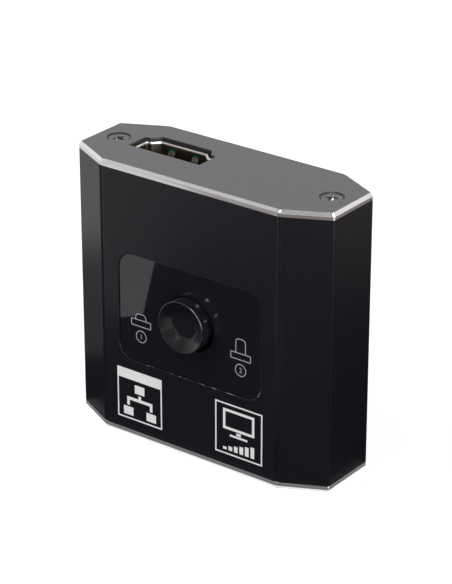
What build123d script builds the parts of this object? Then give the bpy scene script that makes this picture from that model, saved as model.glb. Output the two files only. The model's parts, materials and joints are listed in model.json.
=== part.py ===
from build123d import *
from math import asin, atan2, cos, degrees, hypot
import os

# Two-way video switch box, standing on its end with the single socket at the top.
# Millimetres. The origin is the middle of the underside, +X to the right, +Y to the back, +Z up.

# Case: an eight-sided tube between two end plates
case_width = 55.0
case_depth = 19.85
case_height = 52.75
corner_run_x = 8.35
corner_run_y = 4.2
corner_radius = 0.3
tube_wall = 1.5
groove_radius = 0.33
groove_shoulder = 0.25
plate_thickness = 1.3
bevel_height = 0.6
bevel_width = 0.4
cut_overrun = 1.0

# Screw ports and slots that run the length of the tube
screw_inset = 4.5
port_radius = 2.1
port_hole_radius = 1.05
port_slot_width = 0.9
rib_thickness = 1.0
rib_bite = 1.2
board_slot_clearance = 0.1

# Plate screws
screw_shank_radius = 1.0
screw_length = 6.0
screw_hole_radius = 1.3
countersink_radius = 2.18
countersink_angle = 90
screw_sink = 0.2
screw_seat_gap = 0.05
screw_tip_length = 0.8
driver_slot_length = 2.3
driver_slot_width = 0.55
driver_slot_depth = 1.0
driver_slot_taper = 12

# Front panel and the adhesive sheet that holds it in its recess
panel_side_margin = 3.65
panel_height = 20.6
panel_radius = 3.0
panel_x = 0.1
panel_drop = 0.475
panel_thickness = 0.6
panel_sink = 0.15
panel_clearance = 0.08
adhesive_thickness = 0.15
adhesive_margin = 0.4

# Push button, which sits slightly high in its hole
button_x = 0.1
button_rise = 0.075
button_hole_radius = 5.3
button_hole_shift = 0.1
button_hole_drop = 0.22
button_radius = 4.9
button_proud = 2.45
button_travel = 2.3
button_back_gap = 0.75
button_rim_width = 0.3
button_dish_depth = 1.5
button_floor_radius = 2.6
button_floor_thickness = 1.0
button_skirt_thickness = 0.9
button_boss_radius = 2.7
button_boss_length = 3.3
button_edge_radius = 0.15

# Video sockets: the opening is wide at the front and narrow at the back
socket_gap_share = 0.67
socket_y = 1.3
mouth_sink = 0.55
opening_width = 14.0
opening_height = 4.55
opening_side = 3.1
opening_shelf_rise = 0.1
opening_shelf_width = 12.4
opening_narrow_width = 9.8
shell_wall = 0.3
shell_length = 11.0
shell_corner_radius = 0.35
lip_flare = 0.1
lip_length = 0.15
cutout_width = 15.6
cutout_height = 6.6
cutout_side = 4.7
cutout_shelf_rise = 0.12
cutout_shelf_width = 13.5
cutout_narrow_width = 10.9
cutout_corner_radius = 0.2
tab_x = 2.6
tab_width = 1.35
tab_root_depth = 5.4
tab_crest_depth = 2.6
tab_tip_depth = 1.1
tab_crest_rise = 0.6
tab_tip_rise = -0.07
tab_thickness = 0.22
tab_tip_radius = 0.6
window_width = 2.0
window_start = 0.65
leg_depths = (2.6, 8.8)
leg_width = 1.4
leg_proud = 0.6
leg_slot_clearance = 0.15
tongue_width = 11.4
tongue_thickness = 1.2
tongue_offset = -0.15
tongue_tip_depth = 1.7
insulator_start = 6.0
insulator_clearance = 0.02
contact_pitch = 1.0
contact_width = 0.3
contact_thickness = 0.12
contact_tip_depth = 2.3
contact_rear_gap = 0.1
contact_foot = 0.9
wide_row_count = 10
narrow_row_count = 9

# Circuit board
board_thickness = 1.6
board_edge_inset = 3.7
board_end_clearance = 0.2
board_seat_gap = 0.1

# Self-locking push switch, built up from the board towards the front
switch_size = 8.5
switch_height = 7.2
switch_wall = 0.8
switch_floor = 0.8
cover_thickness = 0.35
cover_leg_thickness = 0.3
cover_leg_width = 3.0
cover_leg_length = 3.2
stem_size = 3.0
stem_clearance = 0.08
carriage_length = 3.5
carriage_half_width = 2.5
carriage_heel = 3.35
carriage_stop_gap = 0.05
guide_clearance = 0.08
guide_rib_depth = 0.85
spring_pocket_radius = 1.3
spring_pocket_depth = 2.7
spring_radius = 1.0
spring_wire_radius = 0.12
spring_turns = 8
spring_end_gap = 0.03

# Latch wire and the heart-shaped track that its tip follows
wire_radius = 0.15
wire_bend_radius = 0.3
wire_arm_gap = 0.3
wire_arm = 2.4
wire_pivot_lift = 0.55
wire_pivot_bite = 0.55
wire_pivot_clearance = 0.05
wire_swing = 0.9
track_width = 0.44
track_depth = 0.6
track_floor_gap = 0.15
track_notch_back = 0.4

# Switch contacts
terminal_pitch = 2.0
terminal_width = 0.8
terminal_shank = 0.25
terminal_pad = 0.25
pad_front_gap = 0.45
pad_common_length = 5.3
pad_released_length = 1.5
pad_pressed_length = 2.9
pin_width = 0.5
pin_proud = 1.0
pin_hole_radius = 0.45
clip_thickness = 0.2
clip_length = 1.0
clip_gap = 0.04
clip_end = 0.4
clip_front_gap = 0.5

# Parts soldered to the front of the board
chip_size = 10.0
chip_height = 1.0
chip_standoff = 0.1
chip_shift = 0.7
chip_top_gap = 8.75
lead_pitch = 0.5
lead_count = 16
lead_width = 0.22
lead_thickness = 0.13
lead_reach = 1.0
lead_foot = 0.55
regulator_width = 2.9
regulator_depth = 1.3
regulator_height = 1.0
regulator_standoff = 0.1
regulator_gap = 4.5
regulator_pitch = 1.9
regulator_lead_width = 0.4
regulator_lead_thickness = 0.15
regulator_lead_reach = 0.6
array_width = 2.5
array_length = 1.0
array_height = 0.5
array_pitch = 4.4
array_gap = 2.2
diode_length = 1.8
diode_width = 1.3
diode_height = 0.9
diode_edge_gap = 4.6
diode_gap = 4.2
diode_pitch = 2.6
chip_part_length = 1.0
chip_part_width = 0.5
chip_part_height = 0.5
capacitor_pitch = 1.6
capacitor_count = 6
capacitor_gap = 1.6
resistor_pitch = 1.5
resistor_count = 4
resistor_gap = 3.25

# Levels across the depth, front to back
front_y = -case_depth / 2
panel_y = front_y + panel_sink
recess_y = panel_y + panel_thickness + adhesive_thickness
board_front = socket_y + opening_height / 2 + shell_wall + board_seat_gap
board_back = board_front + board_thickness
cover_y = board_front - switch_height
case_top_y = cover_y + cover_thickness
switch_floor_y = board_front - switch_floor
button_rim_y = front_y - button_proud
stem_tip_y = button_rim_y + button_dish_depth + button_floor_thickness
cap_back_y = cover_y - button_travel - button_back_gap
carriage_front_y = case_top_y + carriage_stop_gap
carriage_back_y = carriage_front_y + carriage_length
pocket_end_y = carriage_back_y - spring_pocket_depth
wire_pivot_y = switch_floor_y - wire_pivot_lift
wire_tip_y = wire_pivot_y - wire_arm

# Levels up the height
tube_length = case_height - 2 * plate_thickness
board_length = tube_length - 2 * board_end_clearance
panel_z = case_height / 2 - panel_drop
button_z = case_height / 2 + button_rise
hole_centre = (button_x + button_hole_shift, button_z - button_hole_drop)

# Places across the width. A socket splits the free width from the middle to the countersink.
screw_x = case_width / 2 - screw_inset
socket_free_width = screw_x - countersink_radius - cutout_width
socket_x = cutout_width / 2 + socket_gap_share * socket_free_width
panel_width = case_width - 2 * corner_run_x - 2 * panel_side_margin
board_width = case_width - 2 * board_edge_inset

# Half widths inside the switch
switch_inner = switch_size / 2 - switch_wall
blade_face = switch_inner - terminal_pad
shank_outer = switch_inner + terminal_shank

# Socket mouths. Each plane's Z runs into the box and its Y to the back.
output_mouth = Plane(
    origin=(-socket_x, socket_y, case_height - mouth_sink), x_dir=(-1, 0, 0), z_dir=(0, 0, -1)
)
input_one_mouth = Plane(origin=(-socket_x, socket_y, mouth_sink), x_dir=(1, 0, 0), z_dir=(0, 0, 1))
input_two_mouth = Plane(origin=(socket_x, socket_y, mouth_sink), x_dir=(1, 0, 0), z_dir=(0, 0, 1))
mouths = {
    "output": output_mouth,
    "input_one": input_one_mouth,
    "input_two": input_two_mouth,
}
top_face = Plane.XY.offset(case_height)
bottom_face = Plane(origin=(0, 0, 0), x_dir=(-1, 0, 0), z_dir=(0, 0, -1))
tube_base = Plane.XY.offset(plate_thickness)


def corner_line(inset):
    """Height of the corner facet's line, drawn in by inset, in units of the facet's run."""
    reach = hypot(corner_run_x, corner_run_y)
    corner_y = case_depth / 2 - corner_run_y
    return corner_run_y * case_width / 2 + corner_run_x * corner_y - inset * reach


def facet_x(y, inset=0):
    """Where the corner facet, drawn in by inset, stands at the height y."""
    return (corner_line(inset) - corner_run_x * y) / corner_run_y


def facet_y(x, inset=0):
    """The same facet's height at x."""
    return (corner_line(inset) - corner_run_y * x) / corner_run_x


def case_outline(inset=0):
    """The eight corners of the case's section, drawn in by inset."""
    half_x = case_width / 2 - inset
    half_y = case_depth / 2 - inset
    side_y = facet_y(half_x, inset)
    flat_x = facet_x(half_y, inset)
    return [
        (half_x, side_y), (flat_x, half_y), (-flat_x, half_y), (-half_x, side_y),
        (-half_x, -side_y), (-flat_x, -half_y), (flat_x, -half_y), (half_x, -side_y),
    ]


def front_plane(y):
    """A plane that faces the front at the depth y: its X runs right and its Y up."""
    return Plane(origin=(0, y, 0), x_dir=(1, 0, 0), z_dir=(0, -1, 0))


def switch_plane(y):
    """The same, centred on the button's axis."""
    return Plane(origin=(button_x, y, button_z), x_dir=(1, 0, 0), z_dir=(0, -1, 0))


# Housing: one extrusion with its ribs and screw ports, a groove along each front and back corner,
# then milled for the panel
groove_x = facet_x(case_depth / 2)
groove_y = case_depth / 2
groove_places = [
    (groove_x, groove_y), (-groove_x, groove_y), (groove_x, -groove_y), (-groove_x, -groove_y),
]
port_web = case_width / 2 - tube_wall / 2 - screw_x
slot_front = board_front - board_slot_clearance
slot_back = board_back + board_slot_clearance
rib_tip = board_width / 2 - rib_bite
rib_reach = case_width / 2 - tube_wall / 2 - rib_tip
rib_middle = rib_tip + rib_reach / 2
back_rib_depth = case_depth / 2 - slot_back
port_slot_reach = port_radius + cut_overrun

with BuildSketch() as cavity:
    Polygon(*case_outline(tube_wall), align=None)
    for side in (1, -1):
        with Locations((side * screw_x, 0)):
            Circle(port_radius, mode=Mode.SUBTRACT)
        with Locations((side * (screw_x + port_web / 2), 0)):
            Rectangle(port_web, port_radius, mode=Mode.SUBTRACT)
        with Locations((side * rib_middle, slot_front - rib_thickness / 2)):
            Rectangle(rib_reach, rib_thickness, mode=Mode.SUBTRACT)
        with Locations((side * rib_middle, slot_back + back_rib_depth / 2)):
            Rectangle(rib_reach, back_rib_depth, mode=Mode.SUBTRACT)
        with Locations((side * screw_x, 0)):
            Circle(port_hole_radius)
        with Locations((side * (screw_x - port_slot_reach / 2), 0)):
            Rectangle(port_slot_reach, port_slot_width)

with BuildPart() as housing_tube:
    with BuildSketch(tube_base) as section:
        Polygon(*case_outline(), align=None)
        fillet(section.vertices(), corner_radius)
        with Locations(*groove_places):
            Circle(groove_radius, mode=Mode.SUBTRACT)
        for place in groove_places:
            shoulders = section.vertices().sort_by_distance(place)[:2]
            fillet(shoulders, groove_shoulder)
        add(cavity.sketch, mode=Mode.SUBTRACT)
    extrude(amount=tube_length)
    with BuildSketch(front_plane(recess_y)):
        with Locations((panel_x, panel_z)):
            RectangleRounded(
                panel_width + 2 * panel_clearance,
                panel_height + 2 * panel_clearance,
                panel_radius + panel_clearance,
            )
    extrude(amount=recess_y - front_y + cut_overrun, mode=Mode.SUBTRACT)
    with BuildSketch(switch_plane(front_y)):
        with Locations((button_hole_shift, -button_hole_drop)):
            Circle(button_hole_radius)
    extrude(amount=-(tube_wall + cut_overrun), mode=Mode.SUBTRACT)


def socket_outline(width, height, side, shelf_rise, shelf_width, narrow_width):
    """Corners of a socket's opening about its centre, wide side first."""
    front = -height / 2
    shelf = front + side
    return [
        (-width / 2, front), (width / 2, front), (width / 2, shelf),
        (shelf_width / 2, shelf + shelf_rise), (narrow_width / 2, -front),
        (-narrow_width / 2, -front), (-shelf_width / 2, shelf + shelf_rise), (-width / 2, shelf),
    ]


def shell_outline(grow):
    """The socket's opening, grown all round by grow, with its slants kept at their angle."""
    slant_x = (opening_shelf_width - opening_narrow_width) / 2
    slant_y = opening_height - opening_side - opening_shelf_rise
    shift = grow * (hypot(slant_x, slant_y) - slant_x) / slant_y
    return socket_outline(
        opening_width + 2 * grow,
        opening_height + 2 * grow,
        opening_side + 2 * grow,
        opening_shelf_rise,
        opening_shelf_width + 2 * shift,
        opening_narrow_width + 2 * shift,
    )


# End plates: a bevelled blank with the socket cut-outs and two countersunk holes
def end_plate(face, plate_mouths):
    with BuildPart(face) as plate:
        with BuildSketch(face.offset(-plate_thickness)):
            Polygon(*case_outline(), align=None)
        extrude(amount=plate_thickness - bevel_height)
        with BuildSketch(face.offset(-bevel_height)):
            Polygon(*case_outline(), align=None)
        extrude(amount=bevel_height, taper=degrees(atan2(bevel_width, bevel_height)))
        for mouth in plate_mouths:
            with BuildSketch(mouth.offset(-mouth_sink - cut_overrun)) as cutout:
                Polygon(
                    *socket_outline(
                        cutout_width, cutout_height, cutout_side, cutout_shelf_rise,
                        cutout_shelf_width, cutout_narrow_width,
                    ),
                    align=None,
                )
                fillet(cutout.vertices(), cutout_corner_radius)
            extrude(amount=plate_thickness + 2 * cut_overrun, mode=Mode.SUBTRACT)
        with Locations((screw_x, 0), (-screw_x, 0)):
            CounterSinkHole(
                screw_hole_radius, countersink_radius, counter_sink_angle=countersink_angle
            )
    return plate.part


# A countersunk cross-head screw, its head's top on the XY plane and its axis down
screw_head_radius = countersink_radius - screw_sink - screw_seat_gap
head_depth = screw_head_radius - screw_shank_radius

with BuildPart() as screw:
    with BuildSketch(Plane.XZ):
        with BuildLine():
            Polyline(
                (0, 0), (screw_head_radius, 0), (screw_shank_radius, -head_depth),
                (screw_shank_radius, screw_tip_length - screw_length), (0, -screw_length),
                close=True,
            )
        make_face()
    revolve(axis=Axis.Z)
    for turn in (0, 90):
        with BuildSketch():
            Rectangle(driver_slot_length, driver_slot_width, rotation=turn)
        extrude(amount=-driver_slot_depth, taper=driver_slot_taper, mode=Mode.SUBTRACT)


def plate_screws(face):
    with BuildPart() as screws:
        with Locations(face.offset(-screw_sink)):
            with Locations((screw_x, 0), (-screw_x, 0)):
                add(screw.part)
    return screws.part


# Front panel, flush-mounted in the recess, and its adhesive sheet
with BuildPart() as front_panel:
    with BuildSketch(front_plane(panel_y)):
        with Locations((panel_x, panel_z)):
            RectangleRounded(panel_width, panel_height, panel_radius)
        with Locations(hole_centre):
            Circle(button_hole_radius, mode=Mode.SUBTRACT)
    extrude(amount=-panel_thickness)

with BuildPart() as panel_adhesive:
    with BuildSketch(front_plane(recess_y)):
        with Locations((panel_x, panel_z)):
            RectangleRounded(
                panel_width - 2 * adhesive_margin,
                panel_height - 2 * adhesive_margin,
                panel_radius - adhesive_margin,
            )
        with Locations(hole_centre):
            Circle(button_hole_radius + adhesive_margin, mode=Mode.SUBTRACT)
    extrude(amount=adhesive_thickness)

# Button cap: dished in front, hollow behind, with a square socket for the plunger's stem
with BuildPart() as button_cap:
    with BuildSketch(switch_plane(button_rim_y)):
        Circle(button_radius)
    extrude(amount=-(cap_back_y - button_rim_y))
    fillet(button_cap.edges().filter_by(GeomType.CIRCLE).sort_by(Axis.Y)[0], button_edge_radius)
    with BuildSketch(switch_plane(button_rim_y)):
        Circle(button_radius - button_rim_width)
    with BuildSketch(switch_plane(button_rim_y + button_dish_depth)):
        Circle(button_floor_radius)
    loft(mode=Mode.SUBTRACT)
    with BuildSketch(switch_plane(cap_back_y)):
        Circle(button_radius - button_skirt_thickness)
    extrude(amount=cap_back_y - stem_tip_y, mode=Mode.SUBTRACT)
    with BuildSketch(switch_plane(stem_tip_y)):
        Circle(button_boss_radius)
        Rectangle(stem_size, stem_size, mode=Mode.SUBTRACT)
    extrude(amount=-button_boss_length)

# Switch terminals: two rows of three, each a flat shank with an inner contact pad and a pin
pad_front = case_top_y + pad_front_gap
pad_back = switch_floor_y - guide_clearance
pads = (
    (-1, pad_front, pad_front + pad_released_length),
    (0, pad_front, pad_front + pad_common_length),
    (1, pad_back - pad_pressed_length, pad_back),
)

with BuildPart() as switch_terminals:
    for row in (1, -1):
        for place, pad_start, pad_end in pads:
            terminal_plane = Plane(
                origin=(button_x + place * terminal_pitch, 0, button_z),
                x_dir=(0, 1, 0), z_dir=(1, 0, 0),
            )
            with BuildSketch(terminal_plane):
                Polygon(
                    (pad_front, row * switch_inner), (pad_front, row * shank_outer),
                    (board_front, row * shank_outer), (board_front, row * switch_inner),
                    align=None,
                )
                Polygon(
                    (pad_start, row * blade_face), (pad_start, row * switch_inner),
                    (pad_end, row * switch_inner), (pad_end, row * blade_face),
                    align=None,
                )
            extrude(amount=terminal_width / 2, both=True)
            with BuildSketch(terminal_plane):
                Polygon(
                    (board_front, row * switch_inner), (board_front, row * shank_outer),
                    (board_back + pin_proud, row * shank_outer),
                    (board_back + pin_proud, row * switch_inner),
                    align=None,
                )
            extrude(amount=pin_width / 2, both=True)

# Switch case, moulded round the terminals, with two ribs that guide the plunger's heel
arm_x = carriage_half_width + wire_arm_gap + wire_radius
guide_z = carriage_half_width + guide_clearance
guide_rib = switch_inner - guide_z
wire_plane = Plane(origin=(button_x, 0, button_z), x_dir=(1, 0, 0), z_dir=(0, 0, 1))
pivot_plane = Plane(
    origin=(button_x + switch_inner, wire_pivot_y, button_z), x_dir=(0, 1, 0), z_dir=(1, 0, 0)
)

with BuildPart() as switch_case:
    with BuildSketch(switch_plane(board_front)):
        Rectangle(switch_size, switch_size)
    extrude(amount=board_front - case_top_y)
    with BuildSketch(switch_plane(switch_floor_y)):
        Rectangle(2 * switch_inner, 2 * switch_inner)
        for side in (1, -1):
            with Locations((-switch_inner + guide_rib_depth / 2, side * (guide_z + guide_rib / 2))):
                Rectangle(guide_rib_depth, guide_rib, mode=Mode.SUBTRACT)
    extrude(amount=switch_floor_y - case_top_y, mode=Mode.SUBTRACT)
    with BuildSketch(pivot_plane):
        Circle(wire_radius + wire_pivot_clearance)
    extrude(amount=wire_pivot_bite + wire_pivot_clearance, mode=Mode.SUBTRACT)
    add(switch_terminals.part, mode=Mode.SUBTRACT)

# Switch cover: a plate over the case with two legs down its sides
with BuildPart() as switch_cover:
    with BuildSketch(switch_plane(case_top_y)):
        Rectangle(switch_size + 2 * cover_leg_thickness, switch_size)
        Rectangle(
            stem_size + 2 * stem_clearance, stem_size + 2 * stem_clearance, mode=Mode.SUBTRACT
        )
    extrude(amount=cover_thickness)
    with BuildSketch(switch_plane(case_top_y)):
        for side in (1, -1):
            with Locations((side * (switch_size + cover_leg_thickness) / 2, 0)):
                Rectangle(cover_leg_thickness, cover_leg_width)
    extrude(amount=-cover_leg_length)

# Plunger: a square stem, and a carriage with the spring pocket and the latch track
latch_angle = asin(wire_swing / wire_arm)
track_rest = (wire_tip_y, 0)
track_far_y = wire_pivot_y - wire_arm * cos(latch_angle) - button_travel
track_left = (track_far_y, -wire_swing)
track_right = (track_far_y, wire_swing)
track_notch = (track_far_y + track_notch_back, 0)
track_plane = Plane(
    origin=(button_x + carriage_half_width, 0, button_z), x_dir=(0, 1, 0), z_dir=(1, 0, 0)
)

with BuildPart() as switch_plunger:
    with BuildSketch(switch_plane(carriage_back_y)):
        with Locations(((carriage_half_width - carriage_heel) / 2, 0)):
            Rectangle(carriage_half_width + carriage_heel, 2 * carriage_half_width)
    extrude(amount=carriage_length)
    with BuildSketch(switch_plane(carriage_front_y)):
        Rectangle(stem_size, stem_size)
    extrude(amount=carriage_front_y - stem_tip_y)
    with BuildSketch(switch_plane(carriage_back_y)):
        Circle(spring_pocket_radius)
    extrude(amount=spring_pocket_depth, mode=Mode.SUBTRACT)
    with BuildSketch(track_plane):
        for start, end in (
            (track_rest, track_left), (track_left, track_notch),
            (track_notch, track_right), (track_right, track_rest),
        ):
            run_y = end[0] - start[0]
            run_z = end[1] - start[1]
            with Locations(((start[0] + end[0]) / 2, (start[1] + end[1]) / 2)):
                SlotCenterToCenter(
                    hypot(run_y, run_z), track_width, rotation=degrees(atan2(run_z, run_y))
                )
    extrude(amount=-track_depth, mode=Mode.SUBTRACT)

# Latch wire: pivots in the case's wall, its bent tip in the track
with BuildPart() as latch_wire:
    with BuildLine(wire_plane) as wire_path:
        FilletPolyline(
            (switch_inner + wire_pivot_bite, wire_pivot_y),
            (arm_x, wire_pivot_y),
            (arm_x, wire_tip_y),
            (carriage_half_width - track_depth + track_floor_gap, wire_tip_y),
            radius=wire_bend_radius,
        )
    with BuildSketch(Plane(origin=wire_path.line @ 0, z_dir=wire_path.line % 0)):
        Circle(wire_radius)
    sweep(path=wire_path.line)

# Return spring, from the case's floor into the plunger's pocket
spring_start_y = switch_floor_y - spring_wire_radius - spring_end_gap
spring_end_y = pocket_end_y + spring_wire_radius + spring_end_gap
spring_height = spring_start_y - spring_end_y

with BuildPart() as switch_spring:
    with BuildLine():
        coil = Helix(
            pitch=spring_height / spring_turns,
            height=spring_height,
            radius=spring_radius,
            center=(button_x, spring_start_y, button_z),
            direction=(0, -1, 0),
        )
    with BuildSketch(Plane(origin=coil @ 0, z_dir=coil % 0)):
        Circle(spring_wire_radius)
    sweep(path=coil, is_frenet=True)

# Moving contacts: a thin bridge on each side of the plunger, bowed out to three crests
clip_plane_y = carriage_front_y + clip_front_gap + clip_length
clip_crest = blade_face - clip_gap
clip_base = carriage_half_width + clip_thickness

with BuildPart() as moving_contacts:
    for row in (1, -1):
        with BuildSketch(switch_plane(clip_plane_y)):
            Polygon(
                (-terminal_pitch - clip_end, row * carriage_half_width),
                (-terminal_pitch - clip_end, row * clip_base),
                (terminal_pitch + clip_end, row * clip_base),
                (terminal_pitch + clip_end, row * carriage_half_width),
                align=None,
            )
            for place in (-terminal_pitch, 0, terminal_pitch):
                Polygon(
                    (place - clip_end, row * clip_base),
                    (place - clip_thickness / 2, row * clip_crest),
                    (place + clip_thickness / 2, row * clip_crest),
                    (place + clip_end, row * clip_base),
                    align=None,
                )
        extrude(amount=clip_length)

# A socket's pieces are drawn once, about its mouth: X across, Y to the back, Z into the box
leg_x = (opening_width + shell_wall) / 2
board_seat = board_front - socket_y


def side_plane(place):
    """A plane across the socket at the place: its X runs to the back and its Y into the box."""
    return Plane(origin=(place, 0, 0), x_dir=(0, 1, 0), z_dir=(1, 0, 0))


def opening_face(sketch, grow):
    """Draws the opening, grown by grow, with rounded corners, in the sketch."""
    Polygon(*shell_outline(grow), align=None)
    fillet(sketch.vertices(), shell_corner_radius)


# Spring tab: bent in from the shell's wall, flared again at its rounded tip
inner_y = opening_height / 2

with BuildPart() as spring_tab:
    with BuildSketch(side_plane(0)):
        Polygon(
            (inner_y, tab_root_depth),
            (inner_y - tab_crest_rise, tab_crest_depth),
            (inner_y - tab_tip_rise, tab_tip_depth),
            (inner_y - tab_tip_rise + tab_thickness, tab_tip_depth),
            (inner_y - tab_crest_rise + tab_thickness, tab_crest_depth),
            (inner_y + shell_wall, tab_root_depth),
            align=None,
        )
    extrude(amount=tab_width / 2, both=True)
    with BuildSketch(Plane.XZ) as tab_outline:
        with Locations((0, (tab_root_depth + tab_tip_depth) / 2)):
            Rectangle(tab_width, tab_root_depth - tab_tip_depth)
        fillet(tab_outline.vertices().sort_by(Axis.Y)[:2], tab_tip_radius)
    extrude(amount=-opening_height, mode=Mode.INTERSECT)

# Shell: a bent tube with a flared lip, spring tabs in windows and solder legs
window_length = tab_root_depth - window_start
window_middle = (tab_root_depth + window_start) / 2
leg_tip = board_seat + board_thickness + leg_proud

with BuildPart() as socket_shell:
    with BuildSketch() as lip_outer:
        opening_face(lip_outer, shell_wall + lip_flare)
    with BuildSketch(Plane.XY.offset(lip_length)) as neck_outer:
        opening_face(neck_outer, shell_wall)
    loft(ruled=True)
    with BuildSketch(Plane.XY.offset(lip_length)) as tube_outer:
        opening_face(tube_outer, shell_wall)
    extrude(amount=shell_length - lip_length)
    with BuildSketch() as lip_inner:
        opening_face(lip_inner, lip_flare)
    with BuildSketch(Plane.XY.offset(lip_length)) as neck_inner:
        opening_face(neck_inner, 0)
    loft(ruled=True, mode=Mode.SUBTRACT)
    with BuildSketch(Plane.XY.offset(lip_length)) as tube_inner:
        opening_face(tube_inner, 0)
    extrude(amount=shell_length - lip_length, mode=Mode.SUBTRACT)
    with BuildSketch(Plane.XZ.offset(inner_y + 2 * shell_wall)):
        with Locations((tab_x, window_middle), (-tab_x, window_middle)):
            Rectangle(window_width, window_length)
    extrude(amount=-(opening_height + 4 * shell_wall), mode=Mode.SUBTRACT)
    for place in (tab_x, -tab_x):
        with Locations(Location((place, 0, 0)), Location((place, 0, 0), (0, 0, 180))):
            add(spring_tab.part)
    for place in (leg_x, -leg_x):
        with BuildSketch(side_plane(place)):
            for leg_depth in leg_depths:
                with Locations((leg_tip / 2, leg_depth)):
                    Rectangle(leg_tip, leg_width)
        extrude(amount=shell_wall / 2, both=True)


def contact_strip(side):
    """One contact of the row on that face of the tongue, at the middle of the socket."""
    near = tongue_offset + side * tongue_thickness / 2
    far = near + side * contact_thickness
    front, back = min(near, far), max(near, far)
    rear = shell_length + contact_rear_gap
    with BuildPart() as strip:
        with BuildSketch(side_plane(0)):
            Polygon(
                (front, contact_tip_depth), (front, rear + contact_thickness),
                (board_seat - contact_thickness, rear + contact_thickness),
                (board_seat - contact_thickness, rear + contact_foot),
                (board_seat, rear + contact_foot), (board_seat, rear),
                (back, rear), (back, contact_tip_depth),
                align=None,
            )
        extrude(amount=contact_width / 2, both=True)
    return strip.part


# Contacts: flat strips on both faces of the tongue, bent down to the board behind the shell
with BuildPart() as socket_contacts:
    with GridLocations(contact_pitch, 0, wide_row_count, 1):
        add(contact_strip(-1))
    with GridLocations(contact_pitch, 0, narrow_row_count, 1):
        add(contact_strip(1))

# Insulator: the tongue and the block that closes the shell's back
with BuildPart() as socket_insulator:
    with BuildSketch(Plane.XY.offset(insulator_start)) as block:
        opening_face(block, -insulator_clearance)
    extrude(amount=shell_length - insulator_start)
    with BuildSketch(Plane.XY.offset(tongue_tip_depth)):
        with Locations((0, tongue_offset)):
            Rectangle(tongue_width, tongue_thickness)
    extrude(amount=insulator_start - tongue_tip_depth)
    add(socket_contacts.part, mode=Mode.SUBTRACT)

# Circuit board, with slots for the shells' legs and holes for the switch's pins
with BuildPart() as circuit_board:
    with BuildSketch(front_plane(board_back)):
        with Locations((0, case_height / 2)):
            Rectangle(board_width, board_length)
        for mouth in mouths.values():
            inward = mouth.z_dir.Z
            for leg_depth in leg_depths:
                for side in (1, -1):
                    leg_z = mouth.origin.Z + inward * leg_depth
                    with Locations((mouth.origin.X + side * leg_x, leg_z)):
                        Rectangle(
                            shell_wall + 2 * leg_slot_clearance,
                            leg_width + 2 * leg_slot_clearance,
                            mode=Mode.SUBTRACT,
                        )
        for row in (1, -1):
            for place in (-terminal_pitch, 0, terminal_pitch):
                pin_z = button_z + row * (switch_inner + shank_outer) / 2
                with Locations((button_x + place, pin_z)):
                    Circle(pin_hole_radius, mode=Mode.SUBTRACT)
    extrude(amount=board_thickness)


def board_plane(height=0):
    """A plane over the board's front, height above it, facing the front."""
    return front_plane(board_front - height)


def gull_leads(places, body_half, top, thickness, width, reach, foot, turns, centre):
    """Bent leads round a body: places along each side, for each of the turns in degrees."""
    heel = body_half + reach - foot
    with BuildPart() as lead:
        with BuildSketch(Plane.XZ):
            Polygon(
                (body_half, top), (heel, top), (heel, thickness), (body_half + reach, thickness),
                (body_half + reach, 0), (heel - thickness, 0), (heel - thickness, top - thickness),
                (body_half, top - thickness),
                align=None,
            )
        extrude(amount=width / 2, both=True)
    corner = board_plane().location * Pos(*centre)
    spots = [corner * Rot(Z=turn) * Pos(Y=place) for turn in turns for place in places]
    with BuildPart() as leads:
        with Locations(*spots):
            add(lead.part)
    return leads.part


def board_blocks(places, width, length, height):
    """Flat-bottomed parts soldered to the board's front at the places."""
    with BuildPart() as blocks:
        with BuildSketch(board_plane()):
            with Locations(*places):
                Rectangle(width, length)
        extrude(amount=height)
    return blocks.part


# Switching chip: a square body on gull-wing leads
chip_x = socket_x + chip_shift
chip_z = case_height - plate_thickness - board_end_clearance - chip_top_gap - chip_size / 2

with BuildPart() as switching_chip:
    with BuildSketch(board_plane(chip_standoff)):
        with Locations((chip_x, chip_z)):
            Rectangle(chip_size, chip_size)
    extrude(amount=chip_height)

chip_leads = gull_leads(
    [lead_pitch * (index - (lead_count - 1) / 2) for index in range(lead_count)],
    chip_size / 2, chip_standoff + chip_height / 2, lead_thickness, lead_width,
    lead_reach, lead_foot, (0, 90, 180, 270), (chip_x, chip_z),
)

# Small parts are placed by the sockets and the board's edge that they lie beside
array_depth = shell_length + contact_rear_gap + contact_foot + array_gap
diode_x = diode_edge_gap - board_width / 2
regulator_x = diode_x + diode_gap
regulator_z = case_height - mouth_sink - array_depth - regulator_gap
resistor_z = mouth_sink + array_depth + resistor_gap

# Voltage regulator: a small body with two leads on each side
with BuildPart() as voltage_regulator:
    with BuildSketch(board_plane(regulator_standoff)):
        with Locations((regulator_x, regulator_z)):
            Rectangle(regulator_depth, regulator_width)
    extrude(amount=regulator_height)

regulator_leads = gull_leads(
    (-regulator_pitch / 2, regulator_pitch / 2),
    regulator_depth / 2, regulator_standoff + regulator_height / 2, regulator_lead_thickness,
    regulator_lead_width, regulator_lead_reach, regulator_lead_reach / 2, (0, 180),
    (regulator_x, regulator_z),
)

# Places of the small flat parts
array_places = [
    (mouth.origin.X + side * array_pitch / 2, mouth.origin.Z + mouth.z_dir.Z * array_depth)
    for mouth in mouths.values()
    for side in (1, -1)
]
capacitor_offset = chip_size / 2 + lead_reach + capacitor_gap
capacitor_start = chip_x - capacitor_pitch * (capacitor_count - 1) / 2
capacitor_places = [
    (capacitor_start + capacitor_pitch * index, chip_z + side * capacitor_offset)
    for side in (1, -1)
    for index in range(capacitor_count)
]
resistor_places = [
    (centre + resistor_pitch * (index - (resistor_count - 1) / 2), resistor_z)
    for centre in (-socket_x, socket_x)
    for index in range(resistor_count)
]
diode_places = [(diode_x, regulator_z + diode_pitch * index) for index in (-1, 0, 1)]

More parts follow.
